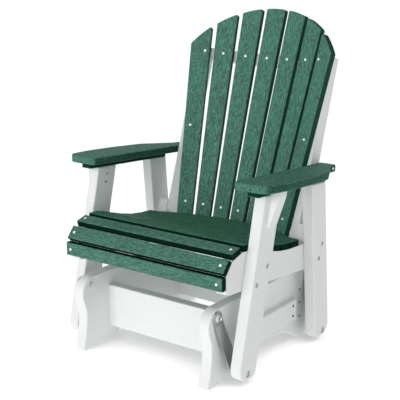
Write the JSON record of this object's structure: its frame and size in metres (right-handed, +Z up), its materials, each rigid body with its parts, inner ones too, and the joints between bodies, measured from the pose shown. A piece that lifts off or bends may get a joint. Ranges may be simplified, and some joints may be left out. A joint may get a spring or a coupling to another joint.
{
  "type": "glider chair",
  "caption": "Outdoor glider armchair: white base, steel swing links, contoured green slat seat, cupped fan back with an arched top, wide arms.",
  "frame": {"origin": "middle of the floor under the whole part", "axes": "+X across the chair to its left-hand side as one sits, +Y from the front to the back, +Z up"},
  "size_m": [0.81, 0.8106, 1.0836],
  "materials": {
    "white_lumber": "embossed plastic lumber",
    "green_lumber": "embossed plastic lumber with fine mottling",
    "link_steel": "satin",
    "fastener_steel": "satin"
  },
  "bodies": {
    "base": {"base_cleat_left": "white_lumber", "base_cleat_right": "white_lumber", "base_front_board": "white_lumber", "base_rear_board": "white_lumber", "base_side_left": "white_lumber", "base_side_right": "white_lumber", "swing_bolts": "fastener_steel"},
    "front_links": {"front_link_left": "link_steel", "front_link_right": "link_steel"},
    "rear_links": {"rear_link_left": "link_steel", "rear_link_right": "link_steel"},
    "chair": {"arm_bracket_left": "white_lumber", "arm_bracket_right": "white_lumber", "arm_left": "green_lumber", "arm_right": "green_lumber", "arm_strip_left": "green_lumber", "arm_strip_right": "green_lumber", "back_post_left": "white_lumber", "back_post_right": "white_lumber", "back_slat_1": "green_lumber", "back_slat_2": "green_lumber", "back_slat_3": "green_lumber", "back_slat_4": "green_lumber", "back_slat_5": "green_lumber", "back_slat_6": "green_lumber", "back_slat_7": "green_lumber", "foot_bolts": "fastener_steel", "front_leg_left": "white_lumber", "front_leg_right": "white_lumber", "leg_bolts": "fastener_steel", "lower_back_rail": "white_lumber", "rear_leg_left": "white_lumber", "rear_leg_right": "white_lumber", "seat_rail_left": "white_lumber", "seat_rail_right": "white_lumber", "seat_slat_1": "green_lumber", "seat_slat_2": "green_lumber", "seat_slat_3": "green_lumber", "seat_slat_4": "green_lumber", "seat_slat_5": "green_lumber", "seat_slat_6": "green_lumber", "seat_slat_7": "green_lumber", "seat_slat_8": "green_lumber", "seat_slat_9": "green_lumber", "top_back_rail": "white_lumber"}
  },
  "joints": [
    {"name": "glide", "type": "hinge", "parent": "base", "child": "front_links", "pos_m": [0, -0.36128, 0.22], "axis": [1, 0, 0], "range_deg": [-15, 12]},
    {"name": "chair_swing", "type": "hinge", "parent": "front_links", "child": "chair", "pos_m": [0, -0.3063, 0.03813], "axis": [1, 0, 0], "range_deg": [-14.2, 17.7]},
    {"name": "rear_swing", "type": "hinge", "parent": "base", "child": "rear_links", "pos_m": [0, 0.17572, 0.22], "axis": [1, 0, 0], "range_deg": [-14.8, 11.8]}
  ],
  "couplings": [
    {"joint": "chair_swing", "follows": "glide", "ratio": -1.1669},
    {"joint": "rear_swing", "follows": "glide", "ratio": 0.9705}
  ]
}
